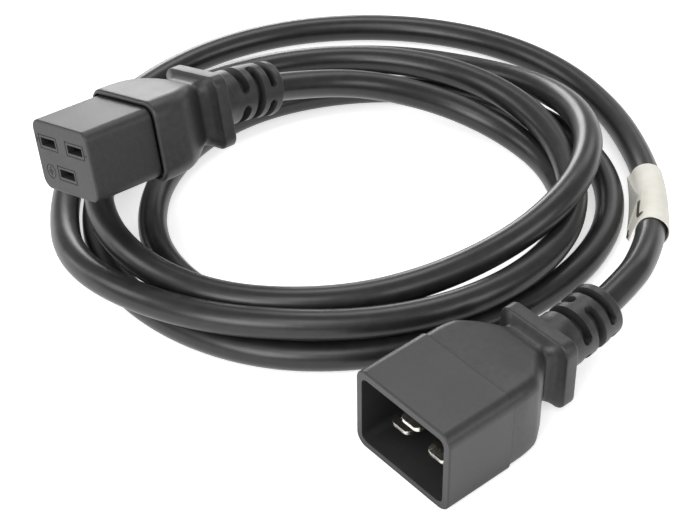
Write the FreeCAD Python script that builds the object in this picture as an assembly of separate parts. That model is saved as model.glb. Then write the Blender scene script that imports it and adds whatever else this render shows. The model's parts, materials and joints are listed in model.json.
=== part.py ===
import FreeCAD, Part
import math
import os

V = FreeCAD.Vector

# C19 to C20 jumper cord. Millimetres, +Z up. The origin is the centre of the C19 mating face,
# +X is the way both connectors point, and the table is FACE_HEIGHT below the origin.

# pin pattern shared by both connectors
PIN_PITCH = 14.0          # line to neutral
PIN_LN_OFFSET = 4.4       # line and neutral row from the centre plane
PIN_E_OFFSET = 4.3        # earth from the centre plane, the other way
BLADE_W = 7.0
BLADE_T = 2.0

# C19 contact block
BLOCK_W = 28.8
BLOCK_H = 21.5
BLOCK_D = 22.4            # how far it stands out of the overmould
BLOCK_R_LN = 3.0          # corner radius on the line and neutral side
BLOCK_R_E = 3.6           # corner radius on the earth side
TAIL_INSET = 2.0          # the buried tail is smaller, each way
SLOT_CLEAR = 0.25         # each way round a blade
POCKET_CLEAR = 0.2        # each way round a contact
FACE_WALL = 2.4           # plastic in front of the contacts
MARK_DEPTH = 0.15         # moulded marks and frames on the face

# female contacts
CONTACT_WALL = 0.6
CONTACT_LEN = 20.0
CONTACT_EASE = 0.05       # each way between blade and contact
BARREL_R = 1.75
BARREL_LEN = 7.0
CRIMP_DEPTH = 5.0         # how far the bare copper goes into a barrel

# C20 shroud
SHROUD_SIDE = 2.2         # side walls
SHROUD_FLAT = 2.35        # top and bottom walls
MATE_CLEAR_W = 1.35       # each side between the C19 block and the shroud
MATE_CLEAR_H = 0.5        # above and below the block
SHROUD_D = 22.2           # visible length
CAVITY_D = 21.2
SHROUD_R = 3.8
CAVITY_R = 2.2
BASE_T = 4.6
PIN_LN_BACK = 5.3         # tips behind the rim
PIN_E_BACK = 2.2
PIN_TIP_R = 1.8           # rounded corners of a tip, seen from above
PIN_TIP_LEN = 2.4         # bevel that thins the tip
PIN_TIP_T = 1.0
PIN_TAIL = 3.0            # how far a pin runs behind the base
CUP_INSET = 4.5           # the buried tail of the cup is smaller, each way

# overmould, both ends
MOULD_PROUD_W = 2.2       # overmould beyond the C19 block, each side
MOULD_PROUD_H = 1.7       # above and below the block
MOULD_EASE_19 = 0.9       # rounding of its front edge
MOULD_GAP = 0.45          # groove round the block, each way
MOULD_GAP_D = 1.6
MOULD_SHY_20 = 0.4        # overmould inside the shroud's outline, each way
MOULD_EASE_20 = 0.1
WAIST_HW = 8.3
WAIST_HH = 9.8
FLANGE_HW = 12.8
FLANGE_HH = 11.4
FLANGE_FRONT = 47.1       # grip flange, from the mating end
FLANGE_BACK = 51.8
LOFT_STEP = 1.3
RELIEF_LEN = 23.6
RELIEF_R = 8.45
RELIEF_ROOT_R = 9.8
RIB_CORE_R = 5.9          # bottom of the relief slots
SLOT_SPAN = 150.0         # degrees round the relief

# cable, three cores of 1.5 mm2
CABLE_D = 8.9
CORE_D = 2.9
STRAND_D = 1.6
CABLE_END = 48.0          # where the sheath is stripped, from the mating end
CORE_RING = 1.9           # core centres from the cable's axis

# how the pieces lie on the table
FACE_HEIGHT = 40.0        # C19 face centre above the table
C19_YAW = 0.5
C19_PITCH = -5.0          # nose up
C19_ROLL = 17.4
C19_BEND = (0.5, -18.6)   # heading and climb of the relief's end
C20_X = -14.3             # shroud rim
C20_Y = 127.0
C20_YAW = -0.8
C20_BEND = (-6.5, 4.5)

# paper cable label
LABEL_FROM = 45.0         # cable between the C20's strain relief and the label
LABEL_L = 36.0
LABEL_T = 0.3
LABEL_GAP = 0.2           # it is wound on a little loose
FLAG_L = 30.0
FLAG_W = 4.5
FLAG_R = 2.0              # its rounded corners
FLAG_DROP = 38.0          # degrees the flag hangs below level

# The cord's route, corner by corner, heights above the table.
ROUTE = [
    (-108.5, 5, 20), (-123.5, 16, 14.5), (-133.3, 29, 10), (-138.3, 44.4, 6.5), (-137.5, 61, 5),
    (-130.5, 76, 4.5), (-118.5, 87.5, 4.5), (-103, 93.8, 4.5), (-82.5, 94.5, 4.5), (-56, 89, 4.5),
    (-27, 68.5, 4.5), (-16, 38, 4.5), (-19.5, 10.5, 4.5), (-36.5, -11, 4.5), (-60.5, -23, 4.5),
    (-87, -24.5, 4.5), (-112, -15.5, 4.5), (-133, 0.5, 4.5), (-148, 21.5, 4.5), (-154.5, 47.5, 4.5),
    (-150, 73.5, 4.5), (-133.5, 93.5, 4.5), (-109.5, 104, 4.5), (-82, 105, 4.5), (-56, 99.5, 4.5),
    (-33, 88, 4.5), (-14, 70, 4.5), (-3, 46, 4.5), (-1, 19.5, 4.5), (-10, -5.5, 4.5),
    (-26.5, -25.5, 4.5), (-49, -39.5, 4.5), (-75, -45, 4.5), (-101, -41, 5), (-125, -30, 5),
    (-145, -12.5, 4.5), (-159, 10, 4.5), (-162, 35.5, 9.5), (-152.5, 60.5, 17), (-135.5, 80.5, 22.5),
    (-114.5, 92, 23), (-91, 93.5, 18.5), (-65, 86, 13), (-38, 76.5, 14), (-15, 55, 14),
    (-6, 30.5, 14), (-6.5, 8, 15), (-15.5, -11, 16), (-32.5, -25.5, 17), (-57.5, -34.5, 17),
    (-90, -32, 14.5), (-115, -21.5, 13.5), (-133.5, -2.5, 14), (-144.5, 21.5, 14), (-144.5, 48, 14),
    (-135, 72, 14.2), (-117, 92.3, 13.2), (-93.5, 101.5, 13), (-66, 101, 14), (-41.5, 91, 14),
    (-21, 75, 14.5), (-4.5, 54.5, 14), (5, 29, 12.5), (4.5, 3.5, 9), (-8, -19.5, 5),
    (-26, -39, 4.5), (-48, -52.5, 4.5), (-72.5, -60.2, 4.5), (-99, -60, 5), (-124, -52.5, 5),
    (-146, -38, 5), (-164.3, -19, 4.5), (-176, 5, 4.5), (-179, 31.5, 4.5), (-173, 57.5, 4.5),
    (-160.5, 80.5, 5), (-146.5, 97, 7.2), (-129.7, 111, 11.3), (-117.5, 119, 14.5),
]
FIRST_RUN = 15.0          # straight cable out of each strain relief

CABLE_R = CABLE_D / 2.0
CAVITY_W = BLOCK_W + 2 * MATE_CLEAR_W
CAVITY_H = BLOCK_H + 2 * MATE_CLEAR_H
SHROUD_W = CAVITY_W + 2 * SHROUD_SIDE
SHROUD_H = CAVITY_H + 2 * SHROUD_FLAT
CONTACT_W = BLADE_W + 2 * (CONTACT_EASE + CONTACT_WALL)
CONTACT_H = BLADE_T + 2 * (CONTACT_EASE + CONTACT_WALL)
CONTACT_BACK = FACE_WALL + 0.3 + CONTACT_LEN
BLOCK_BACK = CONTACT_BACK + BARREL_LEN + 0.5
PIN_BACK = CAVITY_D + BASE_T + PIN_TAIL
CUP_BACK = PIN_BACK + 1.5
C19_POLES = {"line": (PIN_PITCH / 2, PIN_LN_OFFSET), "neutral": (-PIN_PITCH / 2, PIN_LN_OFFSET),
             "earth": (0.0, -PIN_E_OFFSET)}
C20_POLES = {"line": (PIN_PITCH / 2, -PIN_LN_OFFSET), "neutral": (-PIN_PITCH / 2, -PIN_LN_OFFSET),
             "earth": (0.0, PIN_E_OFFSET)}


def box(x0, x1, y0, y1, z0, z1):
    return Part.makeBox(x1 - x0, y1 - y0, z1 - z0, V(x0, y0, z0))


def rounded_wire(x, hw, hh, r_top, r_low):
    """Rounded rectangle across X, one radius for the top corners and one for the lower ones."""
    corners = [(hw, hh, r_top, 0), (-hw, hh, r_top, 90), (-hw, -hh, r_low, 180), (hw, -hh, r_low, 270)]
    arcs = []
    for y, z, r, start in corners:
        cy = y - math.copysign(r, y)
        cz = z - math.copysign(r, z)
        pts = []
        for a in (start, start + 45, start + 90):
            pts.append(V(x, cy + r * math.cos(math.radians(a)), cz + r * math.sin(math.radians(a))))
        arcs.append(pts)
    edges = []
    for i, pts in enumerate(arcs):
        edges.append(Part.Arc(*pts).toShape())
        edges.append(Part.makeLine(pts[2], arcs[(i + 1) % 4][0]))
    return Part.Wire(edges)


def rounded_block(x_back, x_front, w, h, r_top, r_low):
    face = Part.Face(rounded_wire(x_back, w / 2.0, h / 2.0, r_top, r_low))
    return face.extrude(V(x_front - x_back, 0, 0))


def fillet_at_x(solid, x, r):
    """Rounds the edges that lie in the plane at x."""
    edges = [e for e in solid.Edges if abs(e.BoundBox.XMin - x) < 1e-4 and abs(e.BoundBox.XMax - x) < 1e-4]
    return solid.makeFillet(r, edges)


def corner_arc(a, b, c):
    """The tangent arc at b: its start, middle, end, radius."""
    u = a.sub(b)
    w = c.sub(b)
    short = min(u.Length, w.Length)
    u.normalize()
    w.normalize()
    half = (math.pi - math.acos(max(-1.0, min(1.0, u.dot(w))))) / 2.0
    reach = 0.45 * short
    radius = reach / math.tan(half)
    inward = u.add(w)
    inward.normalize()
    middle = b.add(inward.multiply(radius / math.cos(half) - radius))
    return b.add(V(u).multiply(reach)), middle, b.add(V(w).multiply(reach)), radius


def route_wire(points):
    """Straight runs joined by tangent arcs."""
    edges = []
    radii = []
    here = points[0]
    for a, b, c in zip(points, points[1:], points[2:]):
        start, middle, end, radius = corner_arc(a, b, c)
        edges.append(Part.makeLine(here, start))
        edges.append(Part.Arc(start, middle, end).toShape())
        radii.append(radius)
        here = end
    edges.append(Part.makeLine(here, points[-1]))
    return Part.Wire(edges), radii


def sweep(wire, start, heading, r):
    ring = Part.Wire(Part.makeCircle(r, start, heading))
    return wire.makePipeShell([ring], True, False)


def tube(points, r):
    wire, radii = route_wire(points)
    return sweep(wire, points[0], points[1].sub(points[0]), r)


def relief_path(bend):
    """Cable line from the stripped end, straight to the flange, then bending to the relief's end.

    bend is the unit direction in which the cable leaves, in the connector's own frame."""
    start = V(-CABLE_END, 0, 0)
    root = V(-FLANGE_BACK, 0, 0)
    back = V(-1, 0, 0)
    turn = math.acos(back.dot(bend))
    side = bend.sub(V(back).multiply(bend.dot(back)))
    side.normalize()
    radius = RELIEF_LEN / turn

    def at(length):
        a = length / radius
        p = root.add(V(back).multiply(radius * math.sin(a)))
        p = p.add(V(side).multiply(radius * (1 - math.cos(a))))
        d = V(back).multiply(math.cos(a)).add(V(side).multiply(math.sin(a)))
        return p, d

    line = Part.makeLine(start, root)
    arc = Part.Arc(root, at(RELIEF_LEN / 2)[0], at(RELIEF_LEN)[0]).toShape()
    return Part.Wire([line, arc]), at


def slot_cutter(at, station, width, middle_deg):
    """One ring segment cut into the relief, centred at an angle round it."""
    p, d = at(station)
    turn = FreeCAD.Rotation(V(-1, 0, 0), d)
    spin = FreeCAD.Rotation(V(1, 0, 0), middle_deg - SLOT_SPAN / 2.0)
    outer = Part.makeCylinder(RELIEF_R + 3, width, V(0, 0, 0), V(0, 0, 1), SLOT_SPAN)
    inner = Part.makeCylinder(RIB_CORE_R, width + 2, V(0, 0, -1))
    cutter = outer.cut(inner)
    stand = FreeCAD.Rotation(V(0, 0, 1), V(1, 0, 0))
    cutter.Placement = FreeCAD.Placement(p, turn.multiply(spin).multiply(stand))
    return cutter


def relief(bend):
    """Slotted strain relief: two slots over and under, two at the sides, two over and under."""
    at = relief_path(bend)[1]
    root = V(-FLANGE_BACK, 0, 0)
    back = V(-1, 0, 0)
    ring = Part.makeCircle(RELIEF_R, root, back)
    ring.rotate(root, back, 37)
    turn = math.acos(back.dot(bend))
    side = bend.sub(V(back).multiply(bend.dot(back))).normalize()
    centre = root.add(V(side).multiply(RELIEF_LEN / turn))
    body = Part.Face(Part.Wire([ring])).revolve(centre, back.cross(side), math.degrees(turn))
    root = Part.makeCone(RELIEF_ROOT_R, RELIEF_R - 1.0, 6.2, V(-FLANGE_BACK + 0.5, 0, 0), V(-1, 0, 0))
    body = body.fuse(root)
    for station, width, first in ((9.2, 2.7, 90), (14.6, 2.7, 0), (19.7, 2.4, 90)):
        for middle in (first, first + 180):
            body = body.cut(slot_cutter(at, station, width, middle))
    return body


def slopes(xs, ys):
    """Slopes that let a curve through the keys neither overshoot nor wave."""
    steps = [(y1 - y0) / (x1 - x0) for x0, x1, y0, y1 in zip(xs, xs[1:], ys, ys[1:])]
    inner = [2 * a * b / (a + b) if a * b > 0 else 0.0 for a, b in zip(steps, steps[1:])]
    return [steps[0]] + inner + [steps[-1]]


def eased(keys, x):
    """Width, height and corner radius at x, between the rows of keys."""
    xs = [k[0] for k in keys]
    i = max(n for n in range(len(xs) - 1) if xs[n] <= x + 1e-9)
    h = xs[i + 1] - xs[i]
    t = (x - xs[i]) / h
    out = []
    for column in range(1, 4):
        ys = [k[column] for k in keys]
        m = slopes(xs, ys)
        rise = ys[i + 1] - ys[i]
        a = h * m[i] - rise
        b = rise - h * m[i + 1]
        out.append(ys[i] + t * rise + t * (1 - t) * (a * (1 - t) + b * t))
    return out


def between(a, b, share):
    return a + (b - a) * share


def overmould(front, hw, hh, r, ease, bend):
    """Body and waist lofted through rounded sections, the grip flange, then the relief."""
    keys = [(front, hw - ease, hh - ease, r - ease), (front + ease, hw, hh, r), (front + 4, hw, hh, r)]
    for x, side, flat, rr in ((32, 0.06, 0.06, r), (36.3, 0.32, 0.22, 4.6), (40.6, 0.73, 0.6, 4.2),
                              (44.2, 1.0, 1.0, 3.6)):
        keys.append((x, between(hw, WAIST_HW, side), between(hh, WAIST_HH, flat), rr))
    keys.append((46.2, WAIST_HW + 1.6, FLANGE_HH - 1.1, 3.4))
    keys.append((FLANGE_FRONT + 0.2, FLANGE_HW - 0.9, FLANGE_HH - 0.5, 3.2))
    span = keys[-1][0] - front
    count = int(span / LOFT_STEP)
    stations = [front, front + ease] + [front + span * n / count for n in range(1, count + 1)]
    wires = []
    for x in stations:
        w, h, rr = eased(keys, x)
        wires.append(rounded_wire(-x, w, h, rr, rr))
    body = Part.makeLoft(wires, True, True)
    flange = rounded_block(-FLANGE_BACK, -FLANGE_FRONT, 2 * FLANGE_HW, 2 * FLANGE_HH, 3.6, 3.6)
    flange = fillet_at_x(flange, -FLANGE_BACK, 0.8)
    flange = fillet_at_x(flange, -FLANGE_FRONT, 1.0)
    return body.fuse(flange).fuse(relief(bend))


def core_points(pole, contact_back):
    """Centre line of one core, from its crimp barrel to the stripped end of the sheath."""
    y, z = pole
    a = math.atan2(z, y)
    cy = CORE_RING * math.cos(a)
    cz = CORE_RING * math.sin(a)
    x0 = -(contact_back + BARREL_LEN)
    return [V(x0, y, z), V(x0 - 3.0, y, z), V(-CABLE_END + 3.0, cy, cz), V(-CABLE_END, cy, cz)]


def core(pole, contact_back):
    pts = core_points(pole, contact_back)
    return tube(pts, CORE_D / 2).cut(tube(pts, STRAND_D / 2))


def strands(pole, contact_back):
    """Bare copper, from inside the crimp barrel to the stripped end of the sheath."""
    pts = core_points(pole, contact_back)
    crimped = Part.makeCylinder(STRAND_D / 2, CRIMP_DEPTH, pts[0], V(1, 0, 0))
    return tube(pts, STRAND_D / 2).fuse(crimped).removeSplitter()


def barrel(pole, back):
    """Crimp barrel behind a contact or pin, bored for the strands."""
    y, z = pole
    b = Part.makeCylinder(BARREL_R, BARREL_LEN, V(-back, y, z), V(-1, 0, 0))
    return b.cut(Part.makeCylinder(STRAND_D / 2, CRIMP_DEPTH, V(-back - BARREL_LEN, y, z), V(1, 0, 0)))


def female_contact(pole):
    """Folded brass box that grips the blade, open at the front."""
    y, z = pole
    x0 = -CONTACT_BACK
    x1 = -(FACE_WALL + 0.3)
    hw = CONTACT_W / 2
    hh = CONTACT_H / 2
    shell = box(x0, x1, y - hw, y + hw, z - hh, z + hh)
    iw = hw - CONTACT_WALL
    ih = hh - CONTACT_WALL
    shell = shell.cut(box(x0 + 1.0, x1 + 1, y - iw, y + iw, z - ih, z + ih))
    window = box(x0 + 4.0, x0 + 8.0, y - 1.5, y + 1.5, z, z + hh + 1)
    return shell.cut(window).fuse(barrel(pole, CONTACT_BACK)).removeSplitter()


def letter(strokes, y, z, depth):
    """Shallow moulded mark made of straight strokes (y0, z0, y1, z1)."""
    out = None
    for y0, z0, y1, z1 in strokes:
        length = math.hypot(y1 - y0, z1 - z0)
        bar = Part.makeBox(1.0, length, 0.36, V(-depth, 0, -0.18))
        bar.rotate(V(0, 0, 0), V(1, 0, 0), math.degrees(math.atan2(z1 - z0, y1 - y0)))
        bar.translate(V(0, y + y0, z + z0))
        out = bar if out is None else out.fuse(bar)
    return out


def face_marks():
    depth = MARK_DEPTH
    n_strokes = [(0.9, -1.1, 0.9, 1.1), (0.9, 1.1, -0.9, -1.1), (-0.9, -1.1, -0.9, 1.1)]
    l_strokes = [(-0.8, 1.1, -0.8, -1.1), (-0.8, -1.1, 0.8, -1.1)]
    e_strokes = [(0, 1.4, 0, 0.2), (-1.2, 0.2, 1.2, 0.2), (-0.8, -0.4, 0.8, -0.4), (-0.4, -1.0, 0.4, -1.0)]
    ring = Part.makeCylinder(2.3, 1.0, V(-depth, -8.6, -4.6), V(1, 0, 0))
    ring = ring.cut(Part.makeCylinder(2.0, 1.0, V(-depth, -8.6, -4.6), V(1, 0, 0)))
    return [letter(n_strokes, -12.3, 4.9, depth), letter(l_strokes, 12.4, 4.9, depth),
            letter(e_strokes, -8.6, -4.6, depth), ring]


def slot_frame(y, z):
    """Shallow square groove round a slot on the mating face."""
    hw = BLADE_W / 2 + 1.3
    hh = BLADE_T / 2 + 1.3
    ring = box(-MARK_DEPTH, 1, y - hw, y + hw, z - hh, z + hh)
    return ring.cut(box(-1, 2, y - hw + 0.4, y + hw - 0.4, z - hh + 0.4, z + hh - 0.4))


def c19_tail(front):
    w = BLOCK_W - 2 * TAIL_INSET
    h = BLOCK_H - 2 * TAIL_INSET
    return rounded_block(-BLOCK_BACK, front, w, h, BLOCK_R_LN, BLOCK_R_E)


def c19_block():
    body = rounded_block(-BLOCK_D, 0, BLOCK_W, BLOCK_H, BLOCK_R_LN, BLOCK_R_E)
    body = fillet_at_x(body, 0.0, 0.7)
    body = body.fuse(c19_tail(-BLOCK_D + 1))
    hw = BLADE_W / 2 + SLOT_CLEAR
    hh = BLADE_T / 2 + SLOT_CLEAR
    pw = CONTACT_W / 2 + POCKET_CLEAR
    ph = CONTACT_H / 2 + POCKET_CLEAR
    for y, z in C19_POLES.values():
        body = body.cut(box(-FACE_WALL - 1, 1, y - hw, y + hw, z - hh, z + hh))
        body = body.cut(box(-CONTACT_BACK, -FACE_WALL, y - pw, y + pw, z - ph, z + ph))
        body = body.cut(Part.makeCylinder(BARREL_R, BARREL_LEN, V(-CONTACT_BACK, y, z), V(-1, 0, 0)))
        body = body.cut(Part.makeCylinder(CORE_D / 2, 20, V(-CONTACT_BACK, y, z), V(-1, 0, 0)))
        body = body.cut(slot_frame(y, z))
    for mark in face_marks():
        body = body.cut(mark)
    return body.removeSplitter()


def c19_overmould(bend, inside):
    hw = BLOCK_W / 2 + MOULD_PROUD_W
    hh = BLOCK_H / 2 + MOULD_PROUD_H
    body = overmould(BLOCK_D, hw, hh, 5.0, MOULD_EASE_19, bend)
    groove = rounded_block(-BLOCK_D - MOULD_GAP_D, -BLOCK_D + 1, BLOCK_W + 2 * MOULD_GAP, BLOCK_H + 2 * MOULD_GAP,
                           BLOCK_R_LN, BLOCK_R_E)
    return bury(body.cut(groove), inside)


def bury(body, inside):
    """Cuts the places of the buried tail, the cores and the cable out of the overmould."""
    for solid in inside:
        body = body.cut(solid)
    return body


def blade(pole, tip_back, back):
    """Flat pin whose tip has rounded corners and a bevel above and below."""
    y, z = pole
    x1 = -tip_back
    hw = BLADE_W / 2
    hh = BLADE_T / 2
    body = box(-back, x1, y - hw, y + hw, z - hh, z + hh)
    corners = []
    for e in body.Edges:
        b = e.BoundBox
        if abs(b.XMin - x1) < 1e-4 and abs(b.XMax - x1) < 1e-4 and b.YLength < 1e-3:
            corners.append(e)
    body = body.makeFillet(PIN_TIP_R, corners)
    drop = (BLADE_T - PIN_TIP_T) / 2
    for side in (1, -1):
        wedge = Part.makePolygon([V(x1 - PIN_TIP_LEN, y - hw - 1, z + side * hh), V(x1 + 1, y - hw - 1, z + side * hh),
                                  V(x1 + 1, y - hw - 1, z + side * (hh - drop)), V(x1, y - hw - 1, z + side * (hh - drop)),
                                  V(x1 - PIN_TIP_LEN, y - hw - 1, z + side * hh)])
        body = body.cut(Part.Face(wedge).extrude(V(0, BLADE_W + 2, 0)))
    return body.fuse(barrel(pole, back)).removeSplitter()


def c20_tail(front):
    return rounded_block(-CUP_BACK, front, SHROUD_W - 2 * CUP_INSET, SHROUD_H - 2 * CUP_INSET, 3.0, 3.0)


def c20_shroud():
    """Rigid cup that the C19 block slides into, closed by the base that holds the pins."""
    body = rounded_block(-SHROUD_D, 0, SHROUD_W, SHROUD_H, SHROUD_R, SHROUD_R)
    body = fillet_at_x(body, 0.0, 0.5)
    body = body.fuse(c20_tail(-SHROUD_D + 1))
    cavity = rounded_block(-CAVITY_D, 1, CAVITY_W, CAVITY_H, CAVITY_R, CAVITY_R)
    body = body.cut(cavity)
    hw = BLADE_W / 2
    hh = BLADE_T / 2
    for y, z in C20_POLES.values():
        body = body.cut(box(-PIN_BACK, 0, y - hw, y + hw, z - hh, z + hh))
        body = body.cut(Part.makeCylinder(BARREL_R, 30, V(-PIN_BACK, y, z), V(-1, 0, 0)))
    return body.removeSplitter()


def c20_overmould(bend, inside):
    hw = SHROUD_W / 2 - MOULD_SHY_20
    hh = SHROUD_H / 2 - MOULD_SHY_20
    body = overmould(SHROUD_D, hw, hh, SHROUD_R, MOULD_EASE_20, bend)
    return bury(body, inside)


def cable_end(bend):
    return sweep(relief_path(bend)[0], V(-CABLE_END, 0, 0), V(-1, 0, 0), CABLE_R)


def stretch(wire, first, last):
    """The part of a path between two distances along it."""
    edges = []
    done = 0.0
    for edge in wire.OrderedEdges:
        a = max(first - done, 0.0)
        b = min(last - done, edge.Length)
        if b - a > 1e-3:
            edges.append(edge.Curve.toShape(edge.getParameterByLength(a), edge.getParameterByLength(b)))
        done += edge.Length
    return Part.Wire(edges)


def point_at(wire, length):
    for edge in wire.OrderedEdges:
        if length <= edge.Length:
            return edge.Curve.value(edge.getParameterByLength(length))
        length -= edge.Length


def label(wire):
    """Label wrapped once round the cable, its end stuck to itself as a narrow flag."""
    last = wire.Length - LABEL_FROM
    path = stretch(wire, last - LABEL_L, last)
    ends = [v.Point for v in path.OrderedVertexes]
    first = path.OrderedEdges[0]
    heading = first.tangentAt(first.FirstParameter)
    outer = sweep(path, ends[0], heading, CABLE_R + LABEL_GAP + LABEL_T)
    inner = sweep(path, ends[0], heading, CABLE_R + LABEL_GAP)
    foot = point_at(path, LABEL_L / 2)
    along = ends[-1].sub(ends[0]).normalize()
    side = along.cross(V(0, 0, 1)).normalize()
    turn = FreeCAD.Rotation(along, side, along.cross(side), "XYZ")
    flag = Part.makeBox(FLAG_L, CABLE_R + FLAG_W, 2 * LABEL_T, V(-FLAG_L / 2, 0, -LABEL_T))
    reach = CABLE_R + FLAG_W
    corners = [e for e in flag.Edges if e.BoundBox.YMin > reach - 1e-3 and e.BoundBox.XLength < 1e-3]
    flag = flag.makeFillet(FLAG_R, corners)
    flag.rotate(V(0, 0, 0), V(1, 0, 0), FLAG_DROP)
    flag.Placement = FreeCAD.Placement(foot, turn).multiply(flag.Placement)
    return outer.fuse(flag).cut(inner)


def direction(heading, climb):
    """Unit vector backwards along -X, turned by heading towards +Y and by climb upwards."""
    h = math.radians(heading)
    c = math.radians(climb)
    return V(-math.cos(c) * math.cos(h), math.cos(c) * math.sin(h), math.sin(c))


def write(name, shape, placement=None):
    solid = shape.copy()
    if placement is not None:
        solid.Placement = placement.multiply(solid.Placement)
    solids = solid.Solids
    print(name, "solids", len(solids), "valid", solid.isValid(), "volume", round(solid.Volume, 1))
    if len(solids) == 1:
        solid = solids[0]
    solid.exportStep("parts/%s.step" % name)
    return solid


def c19(placement):
    bend = placement.Rotation.inverted().multVec(direction(*C19_BEND))
    block = c19_block()
    inside = [c19_tail(-BLOCK_D), cable_end(bend)]
    for pole in C19_POLES.values():
        inside.append(Part.makeCompound([core(pole, CONTACT_BACK), strands(pole, CONTACT_BACK)]))
    write("c19_contact_block", block, placement)
    write("c19_overmould", c19_overmould(bend, inside), placement)
    write("c19_cable_end", cable_end(bend), placement)
    for name, pole in C19_POLES.items():
        write("c19_%s_contact" % name, female_contact(pole), placement)
        write("c19_%s_core" % name, core(pole, CONTACT_BACK), placement)
        write("c19_%s_strands" % name, strands(pole, CONTACT_BACK), placement)


def c20(placement):
    bend = placement.Rotation.inverted().multVec(direction(*C20_BEND))
    inside = [c20_tail(-SHROUD_D), cable_end(bend)]
    tips = {"line": PIN_LN_BACK, "neutral": PIN_LN_BACK, "earth": PIN_E_BACK}
    for pole in C20_POLES.values():
        y, z = pole
        inside.append(Part.makeCylinder(BARREL_R, BARREL_LEN, V(-PIN_BACK, y, z), V(-1, 0, 0)))
        inside.append(Part.makeCompound([core(pole, PIN_BACK), strands(pole, PIN_BACK)]))
    write("c20_shroud", c20_shroud(), placement)
    write("c20_overmould", c20_overmould(bend, inside), placement)
    write("c20_cable_end", cable_end(bend), placement)
    for name, pole in C20_POLES.items():
        write("c20_%s_pin" % name, blade(pole, tips[name], PIN_BACK), placement)
        write("c20_%s_core" % name, core(pole, PIN_BACK), placement)
        write("c20_%s_strands" % name, strands(pole, PIN_BACK), placement)


def cord(first, last):
    points = first + [V(x, y, z - FACE_HEIGHT) for x, y, z in ROUTE] + last[::-1]
    wire, radii = route_wire(points)
    sheath = tube(points, CABLE_R)
    section = math.pi * CABLE_R ** 2
    print("cord length", round(wire.Length, 1), "volume ratio", round(sheath.Volume / (section * wire.Length), 4))
    print("radii", [round(r) for r in radii])
    write("cord_sheath", sheath)
    write("cable_label", label(wire))


def cable_exit(placement, angles):
    """Where the cable leaves a strain relief, and the first corner of its route."""
    way = direction(*angles)
    bend = placement.Rotation.inverted().multVec(way)
    start = placement.multVec(relief_path(bend)[1](RELIEF_LEN)[0])
    return [start, start.add(way.multiply(FIRST_RUN))]


os.makedirs("parts", exist_ok=True)
at_c19 = FreeCAD.Placement(V(0, 0, 0), FreeCAD.Rotation(C19_YAW, C19_PITCH, C19_ROLL))
at_c20 = FreeCAD.Placement(V(C20_X, C20_Y, SHROUD_H / 2 - FACE_HEIGHT), FreeCAD.Rotation(C20_YAW, 0, 0))
exit_c19 = cable_exit(at_c19, C19_BEND)
exit_c20 = cable_exit(at_c20, C20_BEND)
print("cable exits", exit_c19, exit_c20)
c19(at_c19)
c20(at_c20)
cord(exit_c19, exit_c20)
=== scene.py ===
import json
import math

import bmesh
import bpy
from mathutils import Matrix, Quaternion, Vector


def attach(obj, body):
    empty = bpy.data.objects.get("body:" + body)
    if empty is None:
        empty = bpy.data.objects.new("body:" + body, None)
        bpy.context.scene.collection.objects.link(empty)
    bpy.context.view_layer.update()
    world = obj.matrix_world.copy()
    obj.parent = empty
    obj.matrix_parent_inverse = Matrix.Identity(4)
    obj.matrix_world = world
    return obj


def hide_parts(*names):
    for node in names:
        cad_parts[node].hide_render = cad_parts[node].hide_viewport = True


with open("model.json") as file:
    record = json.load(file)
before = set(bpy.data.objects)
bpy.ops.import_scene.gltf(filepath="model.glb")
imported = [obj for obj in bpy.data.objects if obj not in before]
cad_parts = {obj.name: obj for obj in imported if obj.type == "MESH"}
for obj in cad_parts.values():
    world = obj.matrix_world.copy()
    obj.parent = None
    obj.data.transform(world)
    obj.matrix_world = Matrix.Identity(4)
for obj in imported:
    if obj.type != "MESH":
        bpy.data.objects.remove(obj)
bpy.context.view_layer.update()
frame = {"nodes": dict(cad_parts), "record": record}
nodes = frame["nodes"]
mm = 0.001
print("frame loaded:", len(nodes), "nodes")


camera = {
    "place": (0.2095, 0.3650, 0.3077),
    "lookAt": (-0.0623, 0.0522, -0.0400),
    "lens": 92.57,
    "sensor": 36,
    "clip": (0.01, 20),
    "roll": -0.59,
}


def makeCamera(c):
    data = bpy.data.cameras.new("camera")
    data.lens = c["lens"]
    data.sensor_width = c["sensor"]
    data.clip_start, data.clip_end = c["clip"]
    obj = bpy.data.objects.new("camera", data)
    bpy.context.collection.objects.link(obj)
    obj.location = c["place"]
    obj.rotation_mode = "QUATERNION"
    look = (Vector(c["lookAt"]) - Vector(c["place"])).to_track_quat("-Z", "Y")
    obj.rotation_quaternion = look @ Quaternion((0, 0, 1), math.radians(c["roll"]))
    bpy.context.scene.camera = obj


makeCamera(camera)


cord = {
    "radius": 4.45 * mm,
    "length": 2.028,
    "steps": 12,
    "ringSteps": 8,
}

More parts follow.
